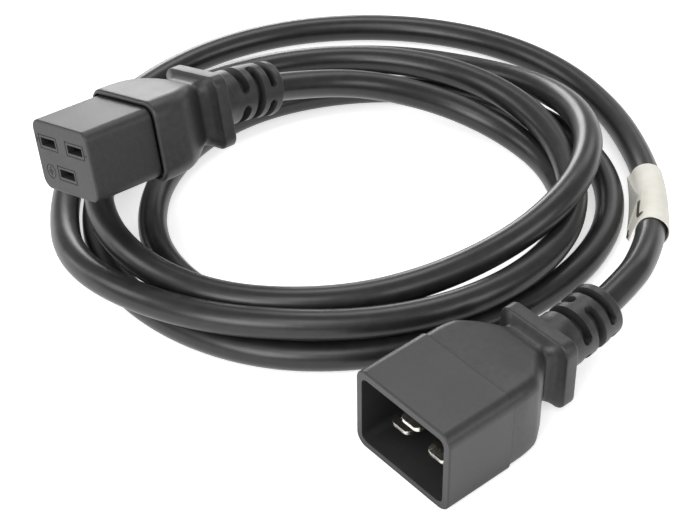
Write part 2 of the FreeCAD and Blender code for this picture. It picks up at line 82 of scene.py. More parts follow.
# Corners of the cord's route, from the C19's strain relief to the C20's.
cordRoute = [
    (-0.0746, -0.0005, -0.0093), (-0.0889, -0.0003, -0.0141), (-0.1085, 0.005, -0.02),
    (-0.1235, 0.016, -0.0255), (-0.1333, 0.029, -0.03), (-0.1383, 0.0444, -0.0335),
    (-0.1375, 0.061, -0.035), (-0.1305, 0.076, -0.0355), (-0.1185, 0.0875, -0.0355),
    (-0.103, 0.0938, -0.0355), (-0.0825, 0.0945, -0.0355), (-0.056, 0.089, -0.0355),
    (-0.027, 0.0685, -0.0355), (-0.016, 0.038, -0.0355), (-0.0195, 0.0105, -0.0355),
    (-0.0365, -0.011, -0.0355), (-0.0605, -0.023, -0.0355), (-0.087, -0.0245, -0.0355),
    (-0.112, -0.0155, -0.0355), (-0.133, 0.0005, -0.0355), (-0.148, 0.0215, -0.0355),
    (-0.1545, 0.0475, -0.0355), (-0.15, 0.0735, -0.0355), (-0.1335, 0.0935, -0.0355),
    (-0.1095, 0.104, -0.0355), (-0.082, 0.105, -0.0355), (-0.056, 0.0995, -0.0355),
    (-0.033, 0.088, -0.0355), (-0.014, 0.07, -0.0355), (-0.003, 0.046, -0.0355),
    (-0.001, 0.0195, -0.0355), (-0.01, -0.0055, -0.0355), (-0.0265, -0.0255, -0.0355),
    (-0.049, -0.0395, -0.0355), (-0.075, -0.045, -0.0355), (-0.101, -0.041, -0.035),
    (-0.125, -0.03, -0.035), (-0.145, -0.0125, -0.0355), (-0.159, 0.01, -0.0355),
    (-0.162, 0.0355, -0.0305), (-0.1525, 0.0605, -0.023), (-0.1355, 0.0805, -0.0175),
    (-0.1145, 0.092, -0.017), (-0.091, 0.0935, -0.0215), (-0.065, 0.086, -0.027),
    (-0.038, 0.0765, -0.026), (-0.015, 0.055, -0.026), (-0.006, 0.0305, -0.026),
    (-0.0065, 0.008, -0.025), (-0.0155, -0.011, -0.024), (-0.0325, -0.0255, -0.023),
    (-0.0575, -0.0345, -0.023), (-0.09, -0.032, -0.0255), (-0.115, -0.0215, -0.0265),
    (-0.1335, -0.0025, -0.026), (-0.1445, 0.0215, -0.026), (-0.1445, 0.048, -0.026),
    (-0.135, 0.072, -0.0258), (-0.117, 0.0923, -0.0268), (-0.0935, 0.1015, -0.027),
    (-0.066, 0.101, -0.026), (-0.0415, 0.091, -0.026), (-0.021, 0.075, -0.0255),
    (-0.0045, 0.0545, -0.026), (0.005, 0.029, -0.0275), (0.0045, 0.0035, -0.031),
    (-0.008, -0.0195, -0.035), (-0.026, -0.039, -0.0355), (-0.048, -0.0525, -0.0355),
    (-0.0725, -0.0602, -0.0355), (-0.099, -0.06, -0.035), (-0.124, -0.0525, -0.035),
    (-0.146, -0.038, -0.035), (-0.1643, -0.019, -0.0355), (-0.176, 0.005, -0.0355),
    (-0.179, 0.0315, -0.0355), (-0.173, 0.0575, -0.0355), (-0.1605, 0.0805, -0.035),
    (-0.1465, 0.097, -0.0328), (-0.1297, 0.111, -0.0287), (-0.1175, 0.119, -0.0255),
    (-0.1045, 0.1249, -0.0243), (-0.0896, 0.1266, -0.0255),
]


def makeCurve(name, points, radius, steps, ringSteps):
    data = bpy.data.curves.new(name, "CURVE")
    data.dimensions = "3D"
    spline = data.splines.new("NURBS")
    spline.points.add(len(points) - 1)
    for point, p in zip(spline.points, points):
        point.co = (*p, 1)
        point.radius = radius
    spline.order_u = 3
    spline.use_endpoint_u = True
    spline.resolution_u = steps
    if radius > 0:
        data.bevel_depth = 1.0
        data.bevel_resolution = ringSteps
        data.use_fill_caps = True
    obj = bpy.data.objects.new(name, data)
    bpy.context.collection.objects.link(obj)
    return obj


def centreLine(points, steps):
    line = makeCurve("centreLine", points, 0, steps, 0)
    bpy.context.view_layer.update()
    mesh = bpy.data.meshes.new_from_object(line)
    found = [v.co.copy() for v in mesh.vertices]
    bpy.data.objects.remove(line)
    return found


cordPiece = makeCurve("cordSheath", cordRoute, cord["radius"], cord["steps"], cord["ringSteps"])
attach(cordPiece, "root")
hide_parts("cord_sheath")
cordLine = centreLine(cordRoute, cord["steps"])
print("cord laid:", len(cordLine), "points on its centre line")


def makeGroup(name, inputs, outputs, build):
    group = bpy.data.node_groups.new(name, "ShaderNodeTree")
    for label, kind, value in inputs:
        socket = group.interface.new_socket(name=label, in_out="INPUT", socket_type=kind)
        socket.default_value = value
    for label, kind in outputs:
        group.interface.new_socket(name=label, in_out="OUTPUT", socket_type=kind)
    source = group.nodes.new("NodeGroupInput")
    sink = group.nodes.new("NodeGroupOutput")
    build(group.nodes, group.links, source.outputs, sink.inputs)
    return group


def addMath(nodesIn, links, operation, first, second, clamp=False):
    node = nodesIn.new("ShaderNodeMath")
    node.operation = operation
    node.use_clamp = clamp
    for socket, value in zip(node.inputs, (first, second)):
        if isinstance(value, (int, float)):
            socket.default_value = value
        else:
            links.new(value, socket)
    return node.outputs[0]


def addNoise(nodesIn, links, vector, scale, detail=3.0, roughness=0.5):
    node = nodesIn.new("ShaderNodeTexNoise")
    node.inputs["Detail"].default_value = detail
    node.inputs["Roughness"].default_value = roughness
    links.new(vector, node.inputs["Vector"])
    if isinstance(scale, (int, float)):
        node.inputs["Scale"].default_value = scale
    else:
        links.new(scale, node.inputs["Scale"])
    return node.outputs[0]


def addRamp(nodesIn, links, value, low, high, toLow=0.0, toHigh=1.0):
    node = nodesIn.new("ShaderNodeMapRange")
    node.inputs["From Min"].default_value = low
    node.inputs["From Max"].default_value = high
    node.inputs["To Min"].default_value = toLow
    node.inputs["To Max"].default_value = toHigh
    links.new(value, node.inputs["Value"])
    return node.outputs[0]


def addMix(nodesIn, links, factor, first, second):
    node = nodesIn.new("ShaderNodeMix")
    node.data_type = "RGBA"
    links.new(factor, node.inputs["Factor"])
    for socket, value in ((node.inputs[6], first), (node.inputs[7], second)):
        if isinstance(value, tuple):
            socket.default_value = (*value, 1)
        else:
            links.new(value, socket)
    return node.outputs[2]


# Ramps are (from, to) of the value that they read; scales are per metre.
effects = {
    "ior": 1.5, "bevelSamples": 4, "coarseShare": 0.21, "patch": (0.35, 0.65),
    "edge": (0.515, 0.60), "edgeBreakScale": 900.0, "edgeBreak": (0.35, 0.65),
    "dustUpward": (0.2, 1.0), "speckScale": 1600.0, "speck": (0.66, 0.74), "speckShare": 0.6,
    "filmScale": 70.0, "film": (0.35, 0.8), "filmShare": 0.5, "dustColour": (0.32, 0.31, 0.29),
    "hollowSamples": 6, "paintedShade": (0.1, 0.75), "hollowRoughness": 0.5,
}


def buildGrain(n, links, given, wanted):
    fine = addNoise(n, links, given["Vector"], given["Scale"], 2.0)
    coarseScale = addMath(n, links, "MULTIPLY", given["Scale"], effects["coarseShare"])
    coarse = addNoise(n, links, given["Vector"], coarseScale, 3.0)
    both = addMath(n, links, "ADD", fine, addMath(n, links, "MULTIPLY", coarse, given["Mottle"]))
    links.new(both, wanted["Height"])
    links.new(coarse, wanted["Patch"])


def buildWear(n, links, given, wanted):
    geometry = n.new("ShaderNodeNewGeometry")
    edge = addRamp(n, links, geometry.outputs["Pointiness"], *effects["edge"])
    noise = addNoise(n, links, given["Vector"], effects["edgeBreakScale"])
    broken = addRamp(n, links, noise, *effects["edgeBreak"])
    worn = addMath(n, links, "MULTIPLY", edge, broken)
    mask = addMath(n, links, "MULTIPLY", worn, given["Amount"], True)
    links.new(addMix(n, links, mask, given["Base"], given["Worn"]), wanted["Color"])


def buildDust(n, links, given, wanted):
    geometry = n.new("ShaderNodeNewGeometry")
    split = n.new("ShaderNodeSeparateXYZ")
    links.new(geometry.outputs["Normal"], split.inputs[0])
    upward = addRamp(n, links, split.outputs["Z"], *effects["dustUpward"])
    speckNoise = addNoise(n, links, given["Vector"], effects["speckScale"], 2.0)
    specks = addRamp(n, links, speckNoise, *effects["speck"])
    filmNoise = addNoise(n, links, given["Vector"], effects["filmScale"], 4.0)
    film = addRamp(n, links, filmNoise, *effects["film"])
    specks = addMath(n, links, "MULTIPLY", specks, effects["speckShare"])
    film = addMath(n, links, "MULTIPLY", film, effects["filmShare"])
    lying = addMath(n, links, "MULTIPLY", addMath(n, links, "ADD", specks, film), upward)
    mask = addMath(n, links, "MULTIPLY", lying, given["Amount"], True)
    links.new(addMix(n, links, mask, given["Base"], effects["dustColour"]), wanted["Color"])


# Painted shade: the ambient occlusion tells how closed in a spot is, and the materials mix their colour
# towards black there.
def buildPaintedHollowShade(n, links, given, wanted):
    shade = n.new("ShaderNodeAmbientOcclusion")
    shade.samples = effects["hollowSamples"]
    links.new(given["Reach"], shade.inputs["Distance"])
    links.new(addRamp(n, links, shade.outputs["AO"], *effects["paintedShade"]), wanted["Open"])


grainGroup = makeGroup(
    "plasticGrain",
    [("Vector", "NodeSocketVector", (0, 0, 0)), ("Scale", "NodeSocketFloat", 3000.0),
     ("Mottle", "NodeSocketFloat", 0.5)],
    [("Height", "NodeSocketFloat"), ("Patch", "NodeSocketFloat")], buildGrain)
wearGroup = makeGroup(
    "edgeWear",
    [("Vector", "NodeSocketVector", (0, 0, 0)), ("Base", "NodeSocketColor", (0, 0, 0, 1)),
     ("Worn", "NodeSocketColor", (0.2, 0.2, 0.2, 1)), ("Amount", "NodeSocketFloat", 0.5)],
    [("Color", "NodeSocketColor")], buildWear)
dustGroup = makeGroup(
    "settledDust",
    [("Vector", "NodeSocketVector", (0, 0, 0)), ("Base", "NodeSocketColor", (0, 0, 0, 1)),
     ("Amount", "NodeSocketFloat", 0.3)],
    [("Color", "NodeSocketColor")], buildDust)
paintedShadeGroup = makeGroup(
    "paintedHollowShade", [("Reach", "NodeSocketFloat", 0.01)], [("Open", "NodeSocketFloat")], buildPaintedHollowShade)


def placeGroup(tree, group, **values):
    node = tree.nodes.new("ShaderNodeGroup")
    node.node_tree = group
    for label, value in values.items():
        socket = node.inputs[label]
        if isinstance(value, tuple):
            socket.default_value = (*value, 1)
        elif isinstance(value, (int, float)):
            socket.default_value = value
        else:
            tree.links.new(value, socket)
    return node.outputs


def startMaterial(name, finish):
    mat = bpy.data.materials.new(name)
    mat.use_nodes = True
    tree = mat.node_tree
    shader = tree.nodes["Principled BSDF"]
    shader.inputs["Metallic"].default_value = finish.get("metallic", 0.0)
    shader.inputs["IOR"].default_value = effects["ior"]
    place = tree.nodes.new("ShaderNodeTexCoord").outputs["Object"]
    return mat, tree, shader, place


def addBump(tree, shader, height, strength, distance, soften=0.0):
    bump = tree.nodes.new("ShaderNodeBump")
    bump.inputs["Strength"].default_value = strength
    bump.inputs["Distance"].default_value = distance
    tree.links.new(height, bump.inputs["Height"])
    tree.links.new(bump.outputs["Normal"], shader.inputs["Normal"])
    if soften > 0:
        edge = tree.nodes.new("ShaderNodeBevel")
        edge.samples = effects["bevelSamples"]
        edge.inputs["Radius"].default_value = soften
        tree.links.new(edge.outputs["Normal"], bump.inputs["Normal"])


def mouldedPlastic(name, finish):
    mat, tree, shader, place = startMaterial(name, finish)
    n, links = tree.nodes, tree.links
    grain = placeGroup(tree, grainGroup, Vector=place, Scale=finish["grainScale"],
                       Mottle=finish["mottle"])
    patch = addRamp(n, links, grain["Patch"], *effects["patch"])
    base = addMix(n, links, patch, finish["dark"], finish["light"])
    worn = placeGroup(tree, wearGroup, Vector=place, Base=base, Worn=finish["worn"],
                      Amount=finish["wear"])
    dust = placeGroup(tree, dustGroup, Vector=place, Base=worn["Color"], Amount=finish["dust"])
    colour = dust["Color"]
    smear = addNoise(n, links, place, finish["smearScale"], 3.0)
    rough = addRamp(n, links, smear, 0.0, 1.0, *finish["roughness"])
    # Painted shade: in hollows, slots and cavities the colour is mixed towards black, and the roughness
    # rises there.
    if "paintedShade" in finish:
        clear = placeGroup(tree, paintedShadeGroup, Reach=finish["paintedShade"])["Open"]
        colour = addMix(n, links, clear, (0.0, 0.0, 0.0), colour)
        dull = addRamp(n, links, clear, 0.0, 1.0, effects["hollowRoughness"], 0.0)
        rough = addMath(n, links, "ADD", rough, dull, True)
    links.new(colour, shader.inputs["Base Color"])
    links.new(rough, shader.inputs["Roughness"])
    addBump(tree, shader, grain["Height"], finish["bump"], finish["bumpDepth"],
            finish.get("soften", 0.0))
    return mat


metalLook = {"lineScale": 900.0, "tarnishScale": 260.0, "tarnish": (0.45, 0.7), "bumpDepth": 0.00002}


def platedMetal(name, finish):
    mat, tree, shader, place = startMaterial(name, finish)
    n, links = tree.nodes, tree.links
    stretch = n.new("ShaderNodeMapping")
    stretch.inputs["Scale"].default_value = finish["brush"]
    links.new(place, stretch.inputs["Vector"])
    lines = addNoise(n, links, stretch.outputs[0], metalLook["lineScale"], 3.0)
    spots = addNoise(n, links, place, metalLook["tarnishScale"], 4.0)
    tarnish = addRamp(n, links, spots, *metalLook["tarnish"])
    colour = addMix(n, links, tarnish, finish["light"], finish["dark"])
    links.new(colour, shader.inputs["Base Color"])
    rough = addRamp(n, links, lines, 0.0, 1.0, *finish["roughness"])
    links.new(rough, shader.inputs["Roughness"])
    addBump(tree, shader, lines, finish["bump"], metalLook["bumpDepth"], finish.get("soften", 0.0))
    return mat


smoothLook = {
    "tintScale": 300.0, "tint": (0.3, 0.7), "smearScale": 700.0, "roughFrom": (-1.0, 2.0),
    "stripeRadiansPerMetre": 2400.0, "stripe": (0.0, 0.1),
}


def smoothColour(name, finish):
    mat, tree, shader, place = startMaterial(name, finish)
    n, links = tree.nodes, tree.links
    tint = addRamp(n, links, addNoise(n, links, place, smoothLook["tintScale"]), *smoothLook["tint"])
    base = addMix(n, links, tint, finish["dark"], finish["light"])
    if "stripe" in finish:
        split = n.new("ShaderNodeSeparateXYZ")
        links.new(place, split.inputs[0])
        along = split.outputs["Y"]
        phase = addMath(n, links, "MULTIPLY", along, smoothLook["stripeRadiansPerMetre"])
        wave = addMath(n, links, "SINE", phase, 0.0)
        inStripe = addRamp(n, links, wave, *smoothLook["stripe"])
        base = addMix(n, links, inStripe, base, finish["stripe"])
    links.new(base, shader.inputs["Base Color"])
    smear = addNoise(n, links, place, smoothLook["smearScale"])
    rough = addRamp(n, links, smear, *smoothLook["roughFrom"])
    links.new(rough, shader.inputs["Roughness"])
    return mat


filmLook = {
    "fibreScale": 1800.0, "fibreDetail": 5.0, "fibreHarshness": 0.65, "roughFrom": (-0.9, 1.2),
    "stainScale": 120.0, "stain": (0.45, 0.75), "bump": 0.35, "bumpDepth": 0.00005,
}


def labelFilm(name, finish):
    mat, tree, shader, place = startMaterial(name, finish)
    n, links = tree.nodes, tree.links
    fibres = addNoise(n, links, place, filmLook["fibreScale"], filmLook["fibreDetail"],
                      filmLook["fibreHarshness"])
    spots = addNoise(n, links, place, filmLook["stainScale"], 4.0)
    stain = addRamp(n, links, spots, *filmLook["stain"])
    base = addMix(n, links, stain, finish["light"], finish["dark"])
    dust = placeGroup(tree, dustGroup, Vector=place, Base=base, Amount=finish["dust"])
    links.new(dust["Color"], shader.inputs["Base Color"])
    rough = addRamp(n, links, fibres, *filmLook["roughFrom"])
    links.new(rough, shader.inputs["Roughness"])
    addBump(tree, shader, fibres, filmLook["bump"], filmLook["bumpDepth"])
    return mat


# A finish's hollow value is the reach of the painted shade in its hollows.
finishes = {
    "softMould": {
        "dark": (0.016, 0.016, 0.0165), "light": (0.024, 0.024, 0.0245),
        "worn": (0.06, 0.06, 0.06), "wear": 0.12, "dust": 0.05,
        "grainScale": 2600.0, "mottle": 0.6, "bump": 0.35, "bumpDepth": 0.00006,
        "smearScale": 55.0, "roughness": (0.36, 0.5), "paintedShade": 0.006,
    },
    "hardBlock": {
        "dark": (0.018, 0.018, 0.0185), "light": (0.024, 0.024, 0.0245),
        "worn": (0.07, 0.07, 0.07), "wear": 0.15, "dust": 0.05,
        "grainScale": 4200.0, "mottle": 0.35, "bump": 0.4, "bumpDepth": 0.00004,
        "smearScale": 55.0, "roughness": (0.42, 0.54), "paintedShade": 0.0012, "soften": 0.0002,
    },
    "shroud": {
        "dark": (0.02, 0.02, 0.0205), "light": (0.024, 0.024, 0.0248),
        "worn": (0.07, 0.07, 0.07), "wear": 0.12, "dust": 0.05,
        "grainScale": 4200.0, "mottle": 0.35, "bump": 0.4, "bumpDepth": 0.00004,
        "smearScale": 55.0, "roughness": (0.36, 0.46), "paintedShade": 0.02, "soften": 0.0003,
    },
    "cable": {
        "dark": (0.010, 0.010, 0.010), "light": (0.015, 0.015, 0.015),
        "worn": (0.04, 0.04, 0.04), "wear": 0.1, "dust": 0.04,
        "grainScale": 1500.0, "mottle": 0.8, "bump": 0.2, "bumpDepth": 0.00006,
        "smearScale": 55.0, "roughness": (0.28, 0.38),
    },
}
materials = {
    "soft_black": mouldedPlastic("softBlackMoulding", finishes["softMould"]),
    "hard_black": mouldedPlastic("hardBlackBlock", finishes["hardBlock"]),
    "shroud_black": mouldedPlastic("hardBlackShroud", finishes["shroud"]),
    "cable_black": mouldedPlastic("cableSheath", finishes["cable"]),
    "contact_brass": platedMetal("contactBrass", {
        "metallic": 1.0, "light": (0.24, 0.2, 0.12), "dark": (0.14, 0.11, 0.06), "brush": (0.1, 1, 1),
        "roughness": (0.3, 0.5), "bump": 0.2}),
    "pin_nickel": platedMetal("nickelPin", {
        "metallic": 1.0, "light": (0.80, 0.78, 0.73), "dark": (0.58, 0.55, 0.49), "brush": (0.08, 1, 1),
        "roughness": (0.16, 0.34), "bump": 0.25, "soften": 0.0002}),
    "bare_copper": platedMetal("copperStrands", {
        "metallic": 1.0, "light": (0.80, 0.42, 0.26), "dark": (0.50, 0.22, 0.12), "brush": (0.2, 2, 2),
        "roughness": (0.25, 0.45), "bump": 0.6}),
    "core_brown": smoothColour("coreBrown", {"dark": (0.13, 0.05, 0.02), "light": (0.2, 0.08, 0.035)}),
    "core_blue": smoothColour("coreBlue", {"dark": (0.02, 0.08, 0.35), "light": (0.03, 0.12, 0.45)}),
    "core_green": smoothColour("coreGreenYellow", {
        "dark": (0.03, 0.25, 0.05), "light": (0.04, 0.32, 0.07), "stripe": (0.75, 0.6, 0.04)}),
    "label_paper": labelFilm("labelFilm", {
        "light": (0.84, 0.82, 0.75), "dark": (0.76, 0.74, 0.64), "dust": 0.08}),
}
# A darker copy of the label film: painted shade on the folded ply.
labelFilmShaded = labelFilm("labelFilmPaintedShade", {
    "light": (0.50, 0.49, 0.45), "dark": (0.42, 0.41, 0.37), "dust": 0.1})
printInk = smoothColour("labelInk", {"dark": (0.05, 0.045, 0.035), "light": (0.09, 0.08, 0.06)})
print("materials made:", len(materials))


def turned(yaw, pitch, roll):
    turn = Matrix.Rotation(math.radians(yaw), 3, "Z") @ Matrix.Rotation(math.radians(pitch), 3, "Y")
    return turn @ Matrix.Rotation(math.radians(roll), 3, "X")


# Sizes in millimetres, stations measured back from the mating end.
# A mouth is half width, half height, upper and lower corner; a bend is heading and climb.
c19Mould = {
    "turn": turned(0.5, -5.0, 17.4),
    "origin": Vector((0, 0, 0)),
    "front": 22.4, "halfWidth": 16.6, "halfHeight": 12.45, "corner": 5.0, "edge": 0.95,
    "mouth": (15.4, 11.25, 3.2, 3.8), "mouthDepth": 1.6,
    "bend": (0.5, -18.6),
}
c20Mould = {
    "turn": turned(-0.8, 0, 0),
    "origin": Vector((-14.3, 127.0, -26.4)),
    "front": 22.2, "halfWidth": 17.55, "halfHeight": 13.2, "corner": 3.8, "edge": 0.25,
    "mouth": (13.45, 9.1, 3.0, 3.0), "mouthDepth": 0.3,
    "bend": (-6.5, 4.5),
}
grip = {
    "waistWidth": 8.3, "waistHeight": 9.8, "straight": 4,
    "flangeWidth": 12.8, "flangeHeight": 11.4, "flangeFront": 47.1, "flangeBack": 51.8,
    "flangeCorner": 3.6, "frontEdge": 0.6, "backEdge": 0.8, "cornerLoss": 0.5,
    # Station, how far the sides and the flats have come in to the waist, corner.
    "narrowing": ((32, 0.06, 0.06, None), (36.3, 0.32, 0.22, 4.6), (40.6, 0.73, 0.6, 4.2),
                  (44.2, 1.0, 1.0, 3.6)),
    # Station, wider than the waist, lower than the flange, corner.
    "swell": (46.2, 1.6, 1.1, 3.4),
    # Past the flange's front, narrower and lower than the flange, corner.
    "foot": (0.2, 0.9, 0.5, 3.2),
    "mouthInset": 0.4, "mouthEase": 0.15, "ringStep": 0.9, "fineStep": 0.3, "fineFrom": 40,
    "leastStep": 0.05, "sharp": 38,
}
relief = {
    "length": 23.6, "radius": 8.45, "rootRadius": 9.6, "rootReach": 5.4, "rootFlare": 1.6,
    "coreRadius": 5.9, "cable": 4.42, "lip": 0.7, "wall": 0.45, "slotSpan": 150.0,
    "slots": ((9.2, 2.7, 90), (14.6, 2.7, 0), (19.7, 2.4, 90)),  # station, width, middle
    "around": 192, "along": 0.17, "ringsInFlange": 4,
}


def roundedRing(x, halfWidth, halfHeight, topRadius, lowRadius, perCorner=9, perSide=7):
    points = []
    corners = ((1, 1, topRadius, 0), (-1, 1, topRadius, 90),
               (-1, -1, lowRadius, 180), (1, -1, lowRadius, 270))
    for i, (sy, sz, r, start) in enumerate(corners):
        cy, cz = sy * (halfWidth - r), sz * (halfHeight - r)
        for k in range(perCorner + 1):
            a = math.radians(start + 90 * k / perCorner)
            points.append(Vector((x, cy + r * math.cos(a), cz + r * math.sin(a))))
        ty, tz, tr, _ = corners[(i + 1) % 4]
        a = math.radians(start + 90)
        end = Vector((x, ty * (halfWidth - tr) + tr * math.cos(a),
                      tz * (halfHeight - tr) + tr * math.sin(a)))
        begin = points[-1].copy()
        for k in range(1, perSide):
            points.append(begin.lerp(end, k / perSide))
    return points


# A row of widths, heights and corners between the keys, eased without overshoot.
def easedRow(keys, x):
    xs = [k[0] for k in keys]
    i = max(n for n in range(len(xs) - 1) if xs[n] <= x + 1e-9)
    h = xs[i + 1] - xs[i]
    t = min(1.0, (x - xs[i]) / h)
    row = []
    for column in range(1, 4):
        ys = [k[column] for k in keys]
        steps = [(b - a) / (xb - xa) for xa, xb, a, b in zip(xs, xs[1:], ys, ys[1:])]
        inner = [2 * a * b / (a + b) if a * b > 0 else 0 for a, b in zip(steps, steps[1:])]
        m = [steps[0]] + inner + [steps[-1]]
        rise = ys[i + 1] - ys[i]
        a = h * m[i] - rise
        b = rise - h * m[i + 1]
        row.append(ys[i] + t * rise + t * (1 - t) * (a * (1 - t) + b * t))
    return row


def meshFromRings(rings, capped=True):
    bm = bmesh.new()
    rows = [[bm.verts.new(p) for p in ring] for ring in rings]
    for a, b in zip(rows, rows[1:]):
        for k in range(len(a)):
            n = (k + 1) % len(a)
            bm.faces.new((a[k], a[n], b[n], b[k]))
    if capped:
        bm.faces.new(list(reversed(rows[0])))
        bm.faces.new(rows[-1])
    bmesh.ops.recalc_face_normals(bm, faces=bm.faces[:])
    return bm


def between(a, b, share):
    return a + (b - a) * share


def bodyKeys(m):
    w, h, r = m["halfWidth"], m["halfHeight"], m["corner"]
    keys = [(m["front"], w, h, r), (m["front"] + grip["straight"], w, h, r)]
    for x, side, flat, corner in grip["narrowing"]:
        width = between(w, grip["waistWidth"], side)
        height = between(h, grip["waistHeight"], flat)
        keys.append((x, width, height, corner or r))
    x, wider, lower, corner = grip["swell"]
    keys.append((x, grip["waistWidth"] + wider, grip["flangeHeight"] - lower, corner))
    past, narrower, lower, corner = grip["foot"]
    x, width = grip["flangeFront"] + past, grip["flangeWidth"] - narrower
    keys.append((x, width, grip["flangeHeight"] - lower, corner))
    return keys


def quarterRings(x, halfWidth, halfHeight, corner, edge, closing, count=5):
    rings = []
    for k in range(count):
        a = math.radians(90 * k / (count - 1))
        if closing:
            step, inset = -edge * (1 - math.sin(a)), edge * (1 - math.cos(a))
        else:
            step, inset = edge * (1 - math.cos(a)), edge * (1 - math.sin(a))
        r = corner - inset * grip["cornerLoss"]
        rings.append(roundedRing(-(x + step), halfWidth - inset, halfHeight - inset, r, r))
    return rings


def gripBody(m):
    mouthWidth, mouthHeight, top, low = m["mouth"]
    x0 = m["front"]
    bottom = -(x0 + m["mouthDepth"])
    inset, ease = grip["mouthInset"], grip["mouthEase"]
    rings = [roundedRing(bottom, mouthWidth - inset, mouthHeight - inset, top, low),
             roundedRing(bottom, mouthWidth, mouthHeight, top, low),
             roundedRing(-(x0 + ease), mouthWidth, mouthHeight, top, low),
             roundedRing(-x0, mouthWidth + ease, mouthHeight + ease, top, low)]
    rings += quarterRings(x0, m["halfWidth"], m["halfHeight"], m["corner"], m["edge"], False)
    keys = bodyKeys(m)
    last = keys[-1][0]
    x = x0 + m["edge"]
    while x < last - grip["leastStep"]:
        x = min(last, x + (grip["ringStep"] if x < grip["fineFrom"] else grip["fineStep"]))
        w, h, r = easedRow(keys, x)
        rings.append(roundedRing(-x, w, h, r, r))
    width, height, corner = grip["flangeWidth"], grip["flangeHeight"], grip["flangeCorner"]
    rings += quarterRings(last, width, height, corner, grip["frontEdge"], False)[2:]
    rings += quarterRings(grip["flangeBack"], width, height, corner, grip["backEdge"], True)
    return meshFromRings(rings)


def towards(heading, climb):
    h, c = math.radians(heading), math.radians(climb)
    return Vector((-math.cos(c) * math.cos(h), math.cos(c) * math.sin(h), math.sin(c)))


def softStep(value, width):
    t = max(0.0, min(1.0, value / width + 0.5))
    return t * t * (3 - 2 * t)


# From 0 on the relief's surface to 1 on the floor of a slot; slots have round ends.
def slotDepth(s, angle):
    deepest = 0.0
    half = math.radians(relief["slotSpan"] / 2) * relief["radius"]
    for station, width, first in relief["slots"]:
        for middle in (first, first + 180):
            turn = (angle - math.radians(middle) + math.pi) % (2 * math.pi) - math.pi
            off = abs(turn) * relief["radius"]
            past = max(0.0, off - (half - width / 2))
            inside = width / 2 - math.hypot(s - station, past)
            deepest = max(deepest, softStep(inside, relief["wall"]))
    return deepest


def reliefRadius(s, angle):
    flare = max(0.0, 1 - s / relief["rootReach"]) ** relief["rootFlare"]
    outside = relief["radius"] + (relief["rootRadius"] - relief["radius"]) * flare
    lip = relief["lip"]
    end = relief["length"] - s
    if end < lip:
        outside -= lip - math.sqrt(max(0.0, lip ** 2 - (lip - end) ** 2))
    return outside - (outside - relief["coreRadius"]) * slotDepth(s, angle)


def reliefBody(m):
    way = m["turn"].inverted() @ towards(*m["bend"])
    back = Vector((-1, 0, 0))
    root = Vector((-grip["flangeBack"], 0, 0))
    turn = back.angle(way)
    side = (way - back * back.dot(way)).normalized()
    radius = relief["length"] / turn
    count = int(relief["length"] / relief["along"])
    rings = []
    for i in range(-relief["ringsInFlange"], count + 1):
        s = relief["length"] * i / count
        a = max(s, 0) / radius
        centre = root + back * (radius * math.sin(a)) + side * (radius * (1 - math.cos(a)))
        if s < 0:
            centre = root + back * s
        heading = back * math.cos(a) + side * math.sin(a)
        spin = back.rotation_difference(heading)
        ring = []
        for k in range(relief["around"]):
            t = 2 * math.pi * k / relief["around"]
            r = reliefRadius(max(s, 0), t)
            ring.append(centre + spin @ Vector((0, r * math.cos(t), r * math.sin(t))))
        rings.append(ring)
    last = rings[-1]
    middle = sum(last, Vector()) / len(last)
    rings.append([middle + (p - middle).normalized() * relief["cable"] for p in last])
    return meshFromRings(rings)


def addPiece(name, bm, slotName, sharp, material=None):
    mesh = bpy.data.meshes.new(name)
    bm.to_mesh(mesh)
    bm.free()
    obj = bpy.data.objects.new(name, mesh)
    bpy.context.collection.objects.link(obj)
    mesh.shade_smooth()
    mesh.set_sharp_from_angle(angle=math.radians(sharp))
    mesh.materials.append(material or materials[slotName])
    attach(obj, "root")
    return obj


def joinMeshes(first, second):
    whole = bpy.data.meshes.new("both")
    second.to_mesh(whole)
    first.from_mesh(whole)
    second.free()
    bpy.data.meshes.remove(whole)
    return first


def makeMould(name, m, replaced):
    bm = joinMeshes(gripBody(m), reliefBody(m))
    for v in bm.verts:
        v.co = (m["turn"] @ v.co + m["origin"]) * mm
    obj = addPiece(name, bm, "soft_black", grip["sharp"])
    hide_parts(replaced)
    return obj


makeMould("c19Moulding", c19Mould, "c19_overmould")
c20Skin = makeMould("c20Moulding", c20Mould, "c20_overmould")
print("connector mouldings made")


# Angles go round the cable from its inner side, upwards positive.
# Shares run along the sleeve towards the C20; lifts stand above the sleeve.
label = {
    "fromEnd": 43.4, "length": 34.4, "radius": 4.95, "wall": 0.28, "around": 72, "steps": 60,
    "sharp": 35, "crumple": 0.05, "secondWave": 0.6, "loose": 0.3, "gape": 0.35, "gapeAt": 200,
    "tipFirst": (5.9, 0.3), "tipLast": (7.0, -4.9), "roundFrom": 0.9, "roundBy": 0.2,
    "ply": 0.24, "bow": 0.35, "bowFrom": 0.4,
    "flagStart": 0.01, "flagSpan": 0.98, "flagWrap": 70, "flagSteps": 14, "flagLift": 0.02,
    "fold": {"first": 0.02, "peak": 0.5, "last": 0.84, "top": 34.0, "least": 1, "lift": 0.28,
             "outside": 0.12, "inside": 0.06, "insideShare": 0.5, "steps": 12},
    "inkWidth": 1.3, "inkLift": 0.16, "inkSteps": 6,
    "ink": (
        ((0.60, 34), (0.66, 31), (0.72, 28.5), (0.78, 27), (0.83, 27.5), (0.87, 30),
         (0.895, 34), (0.9, 39), (0.885, 44), (0.86, 47)),
        ((0.84, -26), (0.90, -30), (0.96, -26)),
    ),
}


